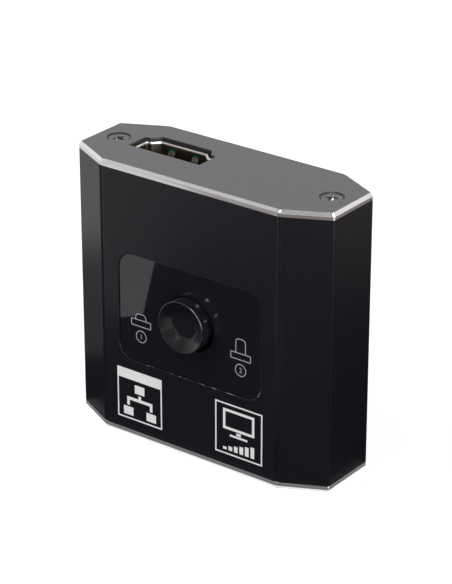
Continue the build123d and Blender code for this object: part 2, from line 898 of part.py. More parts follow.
# Every piece under its own name
parts = {
    "housing_tube": housing_tube.part,
    "top_end_plate": end_plate(top_face, [output_mouth]),
    "bottom_end_plate": end_plate(bottom_face, [input_one_mouth, input_two_mouth]),
    "top_plate_screws": plate_screws(top_face),
    "bottom_plate_screws": plate_screws(bottom_face),
    "front_panel": front_panel.part,
    "panel_adhesive": panel_adhesive.part,
    "button_cap": button_cap.part,
    "switch_case": switch_case.part,
    "switch_cover": switch_cover.part,
    "switch_plunger": switch_plunger.part,
    "switch_spring": switch_spring.part,
    "switch_terminals": switch_terminals.part,
    "moving_contacts": moving_contacts.part,
    "latch_wire": latch_wire.part,
    "circuit_board": circuit_board.part,
    "switching_chip": switching_chip.part,
    "switching_chip_leads": chip_leads,
    "voltage_regulator": voltage_regulator.part,
    "voltage_regulator_leads": regulator_leads,
    "protection_arrays": board_blocks(array_places, array_width, array_length, array_height),
    "supply_diodes": board_blocks(diode_places, diode_length, diode_width, diode_height),
    "capacitors": board_blocks(
        capacitor_places, chip_part_width, chip_part_length, chip_part_height
    ),
    "resistors": board_blocks(resistor_places, chip_part_width, chip_part_length, chip_part_height),
}
for name, mouth in mouths.items():
    parts[f"{name}_socket_shell"] = socket_shell.part.moved(mouth.location)
    parts[f"{name}_socket_contacts"] = socket_contacts.part.moved(mouth.location)
    parts[f"{name}_socket_insulator"] = socket_insulator.part.moved(mouth.location)

os.makedirs("parts", exist_ok=True)
for name, part in parts.items():
    part.label = name
    export_step(part, f"parts/{name}.step")

print("latch wire angle at full travel, degrees:", round(degrees(latch_angle), 3))
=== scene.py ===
import json
from math import asin, atan2, cos, hypot, pi, radians, sin, tan

import bmesh
import bpy
from mathutils import Matrix, Vector

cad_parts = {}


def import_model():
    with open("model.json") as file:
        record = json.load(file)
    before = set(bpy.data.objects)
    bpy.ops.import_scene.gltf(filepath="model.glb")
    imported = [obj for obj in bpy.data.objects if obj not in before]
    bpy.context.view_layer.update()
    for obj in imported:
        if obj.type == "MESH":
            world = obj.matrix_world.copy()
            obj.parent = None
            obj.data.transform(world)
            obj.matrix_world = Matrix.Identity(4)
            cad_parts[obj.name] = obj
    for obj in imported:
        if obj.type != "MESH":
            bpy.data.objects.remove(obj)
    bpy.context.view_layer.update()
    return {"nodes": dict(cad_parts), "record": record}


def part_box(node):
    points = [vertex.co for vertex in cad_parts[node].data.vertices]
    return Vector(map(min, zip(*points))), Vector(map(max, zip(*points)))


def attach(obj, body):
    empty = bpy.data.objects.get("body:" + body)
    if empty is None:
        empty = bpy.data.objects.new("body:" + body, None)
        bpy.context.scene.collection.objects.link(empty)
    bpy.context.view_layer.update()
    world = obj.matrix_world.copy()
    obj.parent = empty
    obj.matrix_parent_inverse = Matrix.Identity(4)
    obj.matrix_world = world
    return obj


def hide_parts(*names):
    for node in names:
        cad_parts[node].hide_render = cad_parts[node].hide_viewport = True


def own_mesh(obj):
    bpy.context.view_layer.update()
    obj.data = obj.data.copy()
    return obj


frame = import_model()

MM = 0.001
WHITE = (1.0, 1.0, 1.0)

# The case, in metres, read from the frame
plate_low, plate_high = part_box("top_end_plate")
panel_low, panel_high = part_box("front_panel")
cap_low, cap_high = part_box("button_cap")
shell_low, shell_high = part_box("output_socket_shell")
screws_low, screws_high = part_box("top_plate_screws")
CASE_WIDTH = plate_high.x - plate_low.x
CASE_DEPTH = plate_high.y - plate_low.y
CASE_HEIGHT = plate_high.z
MIDDLE_Z = CASE_HEIGHT / 2
PLATE_THICKNESS = plate_high.z - plate_low.z
FRONT_Y = -CASE_DEPTH / 2
SCREW_HEAD_RADIUS = screws_high.y
SCREW_X = screws_high.x - SCREW_HEAD_RADIUS
SCREW_SINK = plate_high.z - screws_high.z
SCREW_LENGTH = screws_high.z - screws_low.z
BUTTON_X = (cap_low.x + cap_high.x) / 2
BUTTON_Z = (cap_low.z + cap_high.z) / 2
BUTTON_RADIUS = (cap_high.x - cap_low.x) / 2
PANEL_X = (panel_low.x + panel_high.x) / 2
PANEL_Z = (panel_low.z + panel_high.z) / 2
PANEL_WIDTH = panel_high.x - panel_low.x
PANEL_HEIGHT = panel_high.z - panel_low.z
SOCKET_X = -(shell_low.x + shell_high.x) / 2

# Sizes that the solids have but their boxes don't give
CORNER_RUN_X = 8.35 * MM
CORNER_RUN_Y = 4.2 * MM
BEVEL_HEIGHT = 0.6 * MM
BEVEL_WIDTH = 0.4 * MM
SOCKET_Y = 1.3 * MM
CUTOUT_WIDTH = 15.6 * MM
CUTOUT_HEIGHT = 6.6 * MM
CUTOUT_SIDE = 4.7 * MM
CUTOUT_SHELF_RISE = 0.12 * MM
CUTOUT_SHELF_WIDTH = 13.5 * MM
CUTOUT_NARROW_WIDTH = 10.9 * MM
CUTOUT_CORNER = 0.2 * MM
COUNTERSINK_RADIUS = 2.18 * MM
SCREW_HOLE_RADIUS = 1.3 * MM
SCREW_SHANK_RADIUS = 1.0 * MM
SCREW_TIP = 0.8 * MM
PANEL_CORNER = 3.0 * MM
PANEL_HOLE_RADIUS = 5.3 * MM
PANEL_HOLE_X = BUTTON_X + 0.1 * MM
PANEL_HOLE_Z = BUTTON_Z - 0.22 * MM
PANEL_CLEARANCE = 0.08 * MM
BUTTON_RIM_WIDTH = 0.3 * MM
BUTTON_DISH_DEPTH = 1.5 * MM
BUTTON_FLOOR_RADIUS = 2.6 * MM
SPRING_WIRE_RADIUS = 0.12 * MM

# The photograph's camera, from the straight edges of the box, in widths of the case
IMAGE_HEIGHT = 584
FOCAL_PIXELS = 2485.64
VIEW_AZIMUTH = radians(37.009)
VIEW_ELEVATION = radians(24.822)
VIEW_DISTANCE = 7.99509 * CASE_WIDTH
VIEW_RIGHT = 0.01143 * CASE_WIDTH
VIEW_UP = 0.03975 * CASE_WIDTH
SENSOR = 36.0


# Node materials

def feed(tree, socket, value):
    """Links the socket to the value where that is a socket too, and else sets it."""
    if isinstance(value, bpy.types.NodeSocket):
        tree.links.new(value, socket)
    else:
        socket.default_value = value


def place(tree, scale=(1, 1, 1)):
    """The surface's own coordinates in metres, multiplied by scale."""
    coordinates = tree.nodes.new("ShaderNodeTexCoord")
    mapping = tree.nodes.new("ShaderNodeMapping")
    mapping.inputs["Scale"].default_value = scale
    tree.links.new(coordinates.outputs["Object"], mapping.inputs["Vector"])
    return mapping.outputs["Vector"]


def noise(tree, vector, size, detail=2.0):
    """Noise whose lumps are about size metres wide."""
    node = tree.nodes.new("ShaderNodeTexNoise")
    node.inputs["Scale"].default_value = 1 / size
    node.inputs["Detail"].default_value = detail
    tree.links.new(vector, node.inputs["Vector"])
    return node.outputs["Fac"]


def remap(tree, value, low, high, start=0.3, end=0.7):
    """The value stretched from start..end to low..high."""
    node = tree.nodes.new("ShaderNodeMapRange")
    node.inputs["From Min"].default_value = start
    node.inputs["From Max"].default_value = end
    node.inputs["To Min"].default_value = low
    node.inputs["To Max"].default_value = high
    tree.links.new(value, node.inputs["Value"])
    return node.outputs["Result"]


def blend(tree, factor, first, second, kind="FLOAT"):
    """The first value or link where the factor is 0, the second where it is 1."""
    node = tree.nodes.new("ShaderNodeMix")
    node.data_type = kind
    tree.links.new(factor, node.inputs["Factor"])
    feed(tree, node.inputs["A"], first)
    feed(tree, node.inputs["B"], second)
    return node.outputs["Result"]


def shade(tree, factor, dark, light):
    """A colour between dark and light."""
    return blend(tree, factor, (*dark, 1.0), (*light, 1.0), "RGBA")


def calculate(tree, operation, *values):
    """The result of a math node on values or links."""
    node = tree.nodes.new("ShaderNodeMath")
    node.operation = operation
    for socket, value in zip(node.inputs, values):
        feed(tree, socket, value)
    return node.outputs["Value"]


def bump(tree, height, depth, rounding=0.0):
    """A normal bumped by height, depth metres deep, over edges rounded by rounding metres."""
    node = tree.nodes.new("ShaderNodeBump")
    node.inputs["Distance"].default_value = depth
    tree.links.new(height, node.inputs["Height"])
    if rounding:
        edge = tree.nodes.new("ShaderNodeBevel")
        edge.inputs["Radius"].default_value = rounding
        tree.links.new(edge.outputs["Normal"], node.inputs["Normal"])
    return node.outputs["Normal"]


def new_material(name, colour, metallic, roughness, specular=0.5):
    """A material, its tree and its Principled shader, with the shader's own sockets set."""
    material = bpy.data.materials.new(name)
    material.use_nodes = True
    tree = material.node_tree
    shader = tree.nodes["Principled BSDF"]
    shader.inputs["Base Color"].default_value = (*colour, 1.0)
    shader.inputs["Metallic"].default_value = metallic
    shader.inputs["Roughness"].default_value = roughness
    shader.inputs["Specular IOR Level"].default_value = specular
    return material, tree, shader


def grained(name, colour, spread, roughness, grain, relief,
            metallic=0.0, rounding=0.0, specular=0.5):
    """A surface whose colour, roughness and relief vary a little. Grain, relief and rounding are
    in millimetres, and rounding softens the edges in the shading alone."""
    grain, relief, rounding = grain * MM, relief * MM, rounding * MM
    material, tree, shader = new_material(name, colour, metallic, roughness, specular)
    vector = place(tree)
    fine = noise(tree, vector, grain)
    broad = noise(tree, vector, 20 * grain)
    dark = tuple(c * (1 - spread) for c in colour)
    light = tuple(min(1.0, c * (1 + spread)) for c in colour)
    low, high = roughness * 0.96, min(1.0, roughness * 1.04)
    tree.links.new(shade(tree, fine, dark, light), shader.inputs["Base Color"])
    tree.links.new(remap(tree, broad, low, high), shader.inputs["Roughness"])
    tree.links.new(bump(tree, fine, relief, rounding), shader.inputs["Normal"])
    return material


def bare_metal(name, colour, roughness, grain, relief, scale=(1, 1, 1)):
    """Sawn or turned bare metal: streaks in relief, long where the scale is small.
    Grain and relief are in millimetres."""
    material, tree, shader = new_material(name, colour, 1.0, roughness)
    streaks = noise(tree, place(tree, scale), grain * MM, 3.0)
    tone = shade(tree, remap(tree, streaks, 0, 1), tuple(c * 0.9 for c in colour), colour)
    varied = remap(tree, streaks, roughness * 0.9, roughness * 1.1)
    tree.links.new(tone, shader.inputs["Base Color"])
    tree.links.new(varied, shader.inputs["Roughness"])
    tree.links.new(bump(tree, streaks, relief * MM), shader.inputs["Normal"])
    return material


def flecked(name, colour, fleck, size, share, roughness):
    """A dark surface with flecks of the fleck's colour, about size millimetres wide.
    A greater share shows more of them."""
    material, tree, shader = new_material(name, colour, 0.0, roughness)
    lumps = noise(tree, place(tree), size * MM, 3.0)
    fleck_mask = remap(tree, lumps, 0.0, 1.0, 0.64 - share, 0.68 - share)
    tree.links.new(shade(tree, fleck_mask, colour, fleck), shader.inputs["Base Color"])
    return material


def board_material():
    """Green solder mask with slightly raised tracks, its green darkened as painted shade inside
    the case.
    """
    material, tree, shader = new_material("board_green", (0.005, 0.06, 0.03), 0.0, 0.3)
    tracks = tree.nodes.new("ShaderNodeTexBrick")
    tracks.inputs["Scale"].default_value = 260.0
    tracks.inputs["Mortar Size"].default_value = 0.035
    tracks.inputs["Brick Width"].default_value = 0.9
    tracks.inputs["Row Height"].default_value = 0.2
    tree.links.new(place(tree), tracks.inputs["Vector"])
    tone = shade(tree, tracks.outputs["Fac"], (0.005, 0.055, 0.028), (0.012, 0.11, 0.055))
    tree.links.new(tone, shader.inputs["Base Color"])
    tree.links.new(bump(tree, tracks.outputs["Fac"], 0.02 * MM), shader.inputs["Normal"])
    return material


def socket_metal():
    """Plated sheet: clean at the socket's mouth, and inside it dark brown painted shade."""
    clean, painted_shade_brown = (0.66, 0.6, 0.55), (0.2, 0.16, 0.13)
    dark = tuple(c * 0.4 for c in painted_shade_brown)
    material, tree, shader = new_material("tinned_steel", clean, 1.0, 0.3)
    point = tree.nodes.new("ShaderNodeSeparateXYZ")
    tree.links.new(place(tree), point.inputs["Vector"])
    above_middle = calculate(tree, "SUBTRACT", point.outputs["Z"], MIDDLE_Z)
    from_middle = calculate(tree, "ABSOLUTE", above_middle)
    mouth = MIDDLE_Z - (plate_high.z - shell_high.z)
    # Away from the mouth the sheet is coloured with painted shade, dark brown
    at_mouth = remap(tree, from_middle, 0.0, 1.0, mouth - 0.5 * MM, mouth - 0.2 * MM)
    grain = noise(tree, place(tree, (1, 1, 0.3)), 0.5 * MM, 3.0)
    inside = shade(tree, remap(tree, grain, 0.0, 1.0), dark, painted_shade_brown)
    tone = blend(tree, at_mouth, inside, (*clean, 1.0), "RGBA")
    tree.links.new(tone, shader.inputs["Base Color"])
    tree.links.new(bump(tree, grain, 0.004 * MM, 0.04 * MM), shader.inputs["Normal"])
    return material


GRAINED = {
    "case_black": dict(
        colour=(0.0078, 0.0077, 0.0106), spread=0.3, roughness=0.26, grain=0.12, relief=0.001,
        rounding=0.1, specular=0.15),
    "plate_grey": dict(
        colour=(0.095, 0.092, 0.097), spread=0.06, roughness=0.34, grain=0.12, relief=0.001,
        specular=0.15),
    "panel_gloss": dict(
        colour=(0.0076, 0.0073, 0.0105), spread=0.1, roughness=0.03, grain=0.4, relief=0.00002),
    "button_black": dict(
        colour=(0.0085, 0.0083, 0.0108), spread=0.1, roughness=0.14, grain=0.15, relief=0.0001,
        specular=0.35),
    "screw_black": dict(
        colour=(0.095, 0.092, 0.095), spread=0.1, roughness=0.32, grain=0.1, relief=0.001,
        specular=0.2),
    "spring_steel": dict(
        colour=(0.5, 0.5, 0.5), spread=0.2, roughness=0.3, grain=0.1, relief=0.002, metallic=1.0),
    "contact_gold": dict(
        colour=(0.83, 0.62, 0.28), spread=0.15, roughness=0.25, grain=0.1, relief=0.002,
        metallic=1.0),
    "terminal_tin": dict(
        colour=(0.7, 0.69, 0.65), spread=0.15, roughness=0.35, grain=0.1, relief=0.003,
        metallic=1.0),
    "insulator_black": dict(
        colour=(0.012, 0.012, 0.012), spread=0.3, roughness=0.45, grain=0.15, relief=0.004),
    "switch_plastic": dict(
        colour=(0.02, 0.02, 0.021), spread=0.3, roughness=0.5, grain=0.15, relief=0.005),
    "plunger_plastic": dict(
        colour=(0.68, 0.68, 0.64), spread=0.06, roughness=0.4, grain=0.2, relief=0.003),
    "adhesive": dict(
        colour=(0.03, 0.03, 0.03), spread=0.4, roughness=0.8, grain=0.1, relief=0.01),
    "chip_black": dict(
        colour=(0.02, 0.02, 0.021), spread=0.3, roughness=0.55, grain=0.08, relief=0.004),
    "capacitor_tan": dict(
        colour=(0.42, 0.27, 0.16), spread=0.15, roughness=0.4, grain=0.1, relief=0.003),
}
MATERIALS = {slot: grained(slot, **finish) for slot, finish in GRAINED.items()}
MATERIALS["tinned_steel"] = socket_metal()
MATERIALS["board_green"] = board_material()

# Finishes of the dressed pieces that no node has by itself
BARE_BEVEL = bare_metal(
    "bare_bevel", (0.76, 0.76, 0.77), roughness=0.13, grain=0.3, relief=0.002, scale=(1, 1, 0.2))
BARE_SIDE = bare_metal(
    "bare_side", (0.64, 0.62, 0.62), roughness=0.15, grain=0.3, relief=0.0015,
    scale=(0.2, 0.2, 2.5))
WORN_RECESS = bare_metal(
    "worn_recess", (0.3, 0.29, 0.29), roughness=0.2, grain=0.2, relief=0.004)
# Painted shade for the walls of the plates' openings and of the screws' recesses
PAINTED_SHADE_WALL = grained(
    "painted_shade_wall", (0.018, 0.018, 0.02), spread=0.3, roughness=0.4, grain=0.12, relief=0.004,
    specular=0.2)
# The dish: satin, and coloured a little darker than the cap as painted shade in its hollow
SATIN_SHADED_DISH = grained(
    "satin_shaded_dish", (0.007, 0.0068, 0.009), spread=0.1, roughness=0.22, grain=0.15, relief=0.0002,
    specular=0.28)
# Light flecks on the recess's lower lip: a painted highlight where the lip catches the light
LIP_HIGHLIGHT = flecked(
    "lip_highlight", (0.012, 0.012, 0.014), fleck=(0.4, 0.4, 0.42), size=0.45, share=0.06,
    roughness=0.5)
PRINT_GREY = grained(
    "print_grey", (0.25, 0.25, 0.26), spread=0.15, roughness=0.5, grain=0.06, relief=0.001)
PRINT_WHITE = grained(
    "print_white", (0.62, 0.62, 0.62), spread=0.1, roughness=0.55, grain=0.06, relief=0.002)

for subpart in frame["record"]["subparts"]:
    for node_slot in frame["nodes"][subpart["node"]].material_slots:
        node_slot.material = MATERIALS[subpart["material_slot"]]


# Outlines

def circle(x, y, radius, steps=48):
    """Points round a circle."""
    turns = [2 * pi * step / steps for step in range(steps)]
    return [(x + radius * cos(turn), y + radius * sin(turn)) for turn in turns]


def rectangle(left, right, low, high):
    """Anticlockwise corners of a rectangle."""
    return [(left, low), (right, low), (right, high), (left, high)]


def round_corners(corners, radii, steps):
    """The outline through the corners, each turned into an arc of steps runs.
    Radii is one radius, or a list with one for each corner."""
    count = len(corners)
    if not isinstance(radii, list):
        radii = [radii] * count
    points = []
    for index, radius in enumerate(radii):
        corner = Vector(corners[index])
        to_before = (Vector(corners[index - 1]) - corner).normalized()
        to_after = (Vector(corners[(index + 1) % count]) - corner).normalized()
        half = to_before.angle(to_after) / 2
        middle = (to_before + to_after).normalized()
        centre = corner + middle * radius / sin(half)
        start = to_before * (radius / tan(half)) + corner - centre
        end = to_after * (radius / tan(half)) + corner - centre
        turn = start.angle_signed(end)
        for step in range(steps + 1):
            points.append(centre + Matrix.Rotation(-turn * step / steps, 2) @ start)
    return points


def inside_outline(point, corners):
    """Whether the point lies inside the convex outline."""
    for index in range(len(corners)):
        start = Vector(corners[index - 1])
        along = Vector(corners[index]) - start
        if along.x * (point.y - start.y) - along.y * (point.x - start.x) < 0:
            return False
    return True


def case_corners(inset):
    """The eight corners of the case's section, drawn in by inset."""
    half_x = CASE_WIDTH / 2 - inset
    half_y = CASE_DEPTH / 2 - inset
    reach = hypot(CORNER_RUN_X, CORNER_RUN_Y)
    line = CORNER_RUN_Y * CASE_WIDTH / 2 + CORNER_RUN_X * (CASE_DEPTH / 2 - CORNER_RUN_Y)
    line -= inset * reach
    side_y = (line - CORNER_RUN_Y * half_x) / CORNER_RUN_X
    flat_x = (line - CORNER_RUN_X * half_y) / CORNER_RUN_Y
    return [
        (half_x, side_y), (flat_x, half_y), (-flat_x, half_y), (-half_x, side_y),
        (-half_x, -side_y), (-flat_x, -half_y), (flat_x, -half_y), (half_x, -side_y),
    ]


def cutout_outline(x, grow):
    """A socket's cut-out at x, grown by grow."""
    front = -CUTOUT_HEIGHT / 2 - grow
    shelf = -CUTOUT_HEIGHT / 2 + CUTOUT_SIDE + grow
    back = CUTOUT_HEIGHT / 2 + grow
    half = (
        (CUTOUT_WIDTH / 2 + grow, front), (CUTOUT_WIDTH / 2 + grow, shelf),
        (CUTOUT_SHELF_WIDTH / 2 + grow / 2, shelf + CUTOUT_SHELF_RISE),
        (CUTOUT_NARROW_WIDTH / 2 + grow / 2, back),
    )
    right = [(x + across, SOCKET_Y + along) for across, along in half]
    left = [(x - across, SOCKET_Y + along) for across, along in reversed(half)]
    return round_corners(right + left, CUTOUT_CORNER + grow, 4)


# Mesh making

# A point this far from an edge keeps the face beside the edge evenly shaded
SUPPORT = 0.06 * MM


def supported(start, end):
    """A straight run of a profile, with a point close to each end that keeps its middle flat."""
    near = SUPPORT / hypot(end[0] - start[0], end[1] - start[1])
    return [
        tuple(first + (last - first) * share for first, last in zip(start, end))
        for share in (0, near, 1 - near, 1)
    ]


def eased(size, steps=3):
    """A quarter round of the size, as pairs of the width still left and the height gone."""
    turns = [pi / 2 * step / steps for step in range(steps + 1)]
    return [(size * (1 - sin(turn)), size * (1 - cos(turn))) for turn in turns]


def skin(mesh, rows):
    """Faces between each closed row of points and the next. A row may be a single point."""
    for low, high in zip(rows, rows[1:]):
        count = max(len(low), len(high))
        for index in range(count):
            following = (index + 1) % count
            corners = (low[index % len(low)], low[following % len(low)],
                       high[following % len(high)], high[index % len(high)])
            mesh.faces.new(list(dict.fromkeys(corners)))


def finished(name, mesh):
    """The mesh's data, with its faces turned outwards."""
    bmesh.ops.recalc_face_normals(mesh, faces=mesh.faces)
    data = bpy.data.meshes.new(name)
    mesh.to_mesh(data)
    mesh.free()
    return data


def loop_edges(mesh, row):
    """The edges round a closed row of points."""
    pairs = [(row[index - 1], row[index]) for index in range(len(row))]
    return [mesh.edges.get(pair) or mesh.edges.new(pair) for pair in pairs]


def slab(name, stacks, to_world, apart=False):
    """A solid between flat caps. Each stack is a list of (outline, height) rings, outside first.
    With apart, each stack's last ring is closed on its own."""
    mesh = bmesh.new()
    tops, ends = [], []
    for rings in stacks:
        rows = [
            [mesh.verts.new(to_world(point[0], point[1], height)) for point in outline]
            for outline, height in rings
        ]
        skin(mesh, rows)
        tops += loop_edges(mesh, rows[0])
        ends.append(loop_edges(mesh, rows[-1]))
    groups = [tops] + (ends if apart else [[edge for end in ends for edge in end]])
    for edges in groups:
        bmesh.ops.triangle_fill(mesh, edges=edges, use_beauty=True)
    return finished(name, mesh)


def tube(name, rings):
    """A solid through the rings of points, flat at both ends."""
    mesh = bmesh.new()
    rows = [[mesh.verts.new(point) for point in ring] for ring in rings]
    skin(mesh, rows)
    mesh.faces.new(rows[0])
    mesh.faces.new(rows[-1])
    return finished(name, mesh)


def copies(name, data, moves):
    """One mesh made of a copy of the data for each move."""
    mesh = bmesh.new()
    for move in moves:
        moved = data.copy()
        moved.transform(move)
        mesh.from_mesh(moved)
        bpy.data.meshes.remove(moved)
    return finished(name, mesh)


def smooth(mesh, angle):
    """Smooth shading, with edges sharper than the angle kept sharp."""
    mesh.polygons.foreach_set("use_smooth", [True] * len(mesh.polygons))
    mesh.set_sharp_from_angle(angle=radians(angle))


def link(name, mesh, body, slot, *materials):
    """A new piece from a mesh, which rides on the body and takes the given materials; the slot is
    not used.
    """
    piece = bpy.data.objects.new(name, mesh)
    bpy.context.scene.collection.objects.link(piece)
    for material in materials:
        mesh.materials.append(material)
    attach(piece, body)
    return piece


# End plates: dark face, bare bevel, sawn side, and painted shade on the walls of the openings
FACET_FRONT_RADIUS = 3.0 * MM
FACET_SIDE_RADIUS = 0.5 * MM
PLATE_EASE = 0.07 * MM
BEVEL, SIDE, SHADED_WALL = 1, 2, 3


def plate_outline(inset):
    """An end plate's outline, drawn in by inset."""
    radii = [FACET_SIDE_RADIUS, FACET_FRONT_RADIUS, FACET_FRONT_RADIUS, FACET_SIDE_RADIUS] * 2
    return round_corners(case_corners(inset), [radius - inset for radius in radii], 8)


def plate_stacks(socket_places):
    """The rings of a plate's outside, of its cut-outs and of its countersunk holes."""
    ease = PLATE_EASE
    slope = BEVEL_WIDTH / BEVEL_HEIGHT
    face_edge = BEVEL_WIDTH - 0.02 * MM
    bevel_start = (BEVEL_WIDTH - ease * slope * 0.7, ease * 0.9)
    bevel_end = (ease * slope * 0.9, BEVEL_HEIGHT - ease * 1.1)
    side_start = (0, BEVEL_HEIGHT + ease)
    side_end = (0, PLATE_THICKNESS - ease * 0.6)
    outside = [
        (face_edge + SUPPORT, 0), (face_edge, 0),
        *supported(bevel_start, bevel_end), (ease * 0.15, BEVEL_HEIGHT - ease * 0.1),
        *supported(side_start, side_end), (ease * 0.4, PLATE_THICKNESS),
    ]
    cutout = [
        (ease + SUPPORT, 0), (ease, 0), (ease * 0.3, ease * 0.3), (0, ease), (0, PLATE_THICKNESS),
    ]
    countersink = [
        (COUNTERSINK_RADIUS + ease + SUPPORT, 0), (COUNTERSINK_RADIUS + ease, 0),
        (COUNTERSINK_RADIUS - ease * 0.4, ease * 0.8),
        (SCREW_HOLE_RADIUS, COUNTERSINK_RADIUS - SCREW_HOLE_RADIUS),
        (SCREW_HOLE_RADIUS, PLATE_THICKNESS),
    ]
    stacks = [[(plate_outline(inset), depth) for inset, depth in outside]]
    for x in socket_places:
        stacks.append([(cutout_outline(x, grow), depth) for grow, depth in cutout])
    for x in (SCREW_X, -SCREW_X):
        stacks.append([(circle(x, 0, radius), depth) for radius, depth in countersink])
    return stacks


def end_plate(name, face_z, outward, socket_places):
    """An end plate whose face is at face_z and looks along outward."""

    def to_world(x, y, depth):
        return Vector((x, y, face_z - outward * depth))

    data = slab(name, plate_stacks(socket_places), to_world)
    smooth(data, 25)
    piece = link(
        name + "_dressed", data, "case", "plate_grey",
        MATERIALS["plate_grey"], BARE_BEVEL, BARE_SIDE, PAINTED_SHADE_WALL)
    face_corners = case_corners(BEVEL_WIDTH)
    for polygon in data.polygons:
        depth = (face_z - polygon.center.z) * outward
        sideways = hypot(polygon.normal.x, polygon.normal.y) > 0.3
        # The walls of the cut-outs and countersinks take the painted shade
        if sideways and inside_outline(polygon.center, face_corners):
            polygon.material_index = SHADED_WALL
        elif sideways and depth > PLATE_EASE * 0.2:
            on_bevel = depth < BEVEL_HEIGHT - PLATE_EASE * 0.3
            polygon.material_index = BEVEL if on_bevel else SIDE
    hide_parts(name)


end_plate("top_end_plate", CASE_HEIGHT, 1, (-SOCKET_X,))
end_plate("bottom_end_plate", 0.0, -1, (-SOCKET_X, SOCKET_X))


# Plate screws: a countersunk head with a cross recess, on a plain shank
SCREW_EASE = 0.12 * MM
SCREW_TURNS = (-16, 18)
# The recess in millimetres: an arm's reach and half width, the round middle's radius, the depth
RECESS_RINGS = (
    (1.36, 0.36, 0.72, 0), (1.3, 0.33, 0.68, 0), (1.26, 0.3, 0.62, 0.04),
    (0.9, 0.24, 0.5, 0.5), (0.5, 0.15, 0.3, 0.85),
)
# Its faces lie between the first and the last of these depths; above the middle one they carry
# painted shade, and under it they are worn
RECESS_START, RECESS_WORN, RECESS_END = 0.03 * MM, 0.4 * MM, 1.0 * MM
WORN, SHADED = 1, 2


def cross(reach, half_width, middle):
    """A cross with arms of the given reach, which flow into a round middle."""
    blunt = half_width * 0.4
    shoulder = reach - half_width * 0.5
    arm = [(shoulder, -half_width), (reach, -blunt), (reach, blunt), (shoulder, half_width)]
    start = asin(half_width / middle)
    for step in range(5):
        angle = start + (pi / 2 - 2 * start) * step / 4
        arm.append((middle * cos(angle), middle * sin(angle)))
    points = []
    for turn in (0, pi / 2, pi, 3 * pi / 2):
        points += [
            (x * cos(turn) - y * sin(turn), x * sin(turn) + y * cos(turn)) for x, y in arm
        ]
    return points


def screw_data(name):
    """One screw along Z, with the middle of its head's face at the origin."""
    head, shank, ease = SCREW_HEAD_RADIUS, SCREW_SHANK_RADIUS, SCREW_EASE
    outside = (
        (head - ease - SUPPORT, 0), (head - ease, 0), (head - ease * 0.35, ease * 0.12),
        (head - ease * 0.2, ease * 0.5), (shank, head - shank),
        (shank, SCREW_LENGTH - SCREW_TIP), (shank * 0.3, SCREW_LENGTH),
    )
    stacks = [
        [(circle(0, 0, radius), depth) for radius, depth in outside],
        [
            (cross(reach * MM, half_width * MM, middle * MM), depth * MM)
            for reach, half_width, middle, depth in RECESS_RINGS
        ],
    ]
    return slab(name, stacks, lambda x, y, depth: Vector((x, y, -depth)), apart=True)


def plate_screws(name, face_z, outward):
    """The two screws of an end plate, each turned its own way."""
    flip = Matrix.Rotation(0 if outward > 0 else pi, 4, "X")
    moves = []
    for x, turn in zip((-SCREW_X, SCREW_X), SCREW_TURNS):
        spot = Matrix.Translation((x, 0, face_z - outward * SCREW_SINK))
        moves.append(spot @ flip @ Matrix.Rotation(radians(turn), 4, "Z"))
    pair = copies(name, screw_data(name + "_one"), moves)
    smooth(pair, 30)
    piece = link(
        name + "_dressed", pair, "case", "screw_black",
        MATERIALS["screw_black"], WORN_RECESS, PAINTED_SHADE_WALL)
    for polygon in pair.polygons:
        depth = (face_z - polygon.center.z) * outward - SCREW_SINK
        away = hypot(abs(polygon.center.x) - SCREW_X, polygon.center.y)
        if RECESS_START < depth < RECESS_END and away < SCREW_SHANK_RADIUS * 0.95:
            # Painted shade in the recess's upper part, worn metal at its bottom
            polygon.material_index = SHADED if depth < RECESS_WORN else WORN
    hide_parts(name)


plate_screws("top_plate_screws", CASE_HEIGHT, 1)
plate_screws("bottom_plate_screws", 0.0, -1)


# Front panel: a polished sheet with eased edges

def front_panel():
    """The panel, with its hole for the button."""
    thickness = panel_high.y - panel_low.y
    ease = 0.05 * MM

    def sheet(inset):
        x, z = PANEL_WIDTH / 2 - inset, PANEL_HEIGHT / 2 - inset
        corners = [(x, -z), (x, z), (-x, z), (-x, -z)]
        moved = [(PANEL_X + across, PANEL_Z + up) for across, up in corners]
        return round_corners(moved, PANEL_CORNER - inset, 16)

    def hole(grow):
        return circle(PANEL_HOLE_X, PANEL_HOLE_Z, PANEL_HOLE_RADIUS + grow, 96)

    def to_world(x, z, depth):
        return Vector((x, panel_low.y + depth, z))

    profile = [(ease + SUPPORT, 0), *eased(ease), (0, thickness)]
    stacks = [
        [(outline(inset), depth) for inset, depth in profile] for outline in (sheet, hole)
    ]
    data = slab("front_panel", stacks, to_world)
    smooth(data, 35)
    piece = link("front_panel_dressed", data, "case", "panel_gloss", MATERIALS["panel_gloss"])
    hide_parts("front_panel")


front_panel()


# Button: turned about its axis, dished in front
DISH = 1


def lathe(name, profile, steps=128):
    """Turns the (radius, y) profile about the button's axis. A radius of zero is one point."""
    mesh = bmesh.new()
    rows = []
    for radius, y in profile:
        ring = circle(BUTTON_X, BUTTON_Z, radius, steps if radius else 1)
        rows.append([mesh.verts.new((x, y, z)) for x, z in ring])
    skin(mesh, rows)
    return finished(name, mesh)


def arc(centre, radius, start, end, steps):
    """(radius, y) points on an arc about the centre, from the start angle to the end angle."""
    turns = [start + (end - start) * step / steps for step in range(steps + 1)]
    return [(centre[0] + radius * cos(turn), centre[1] + radius * sin(turn)) for turn in turns]


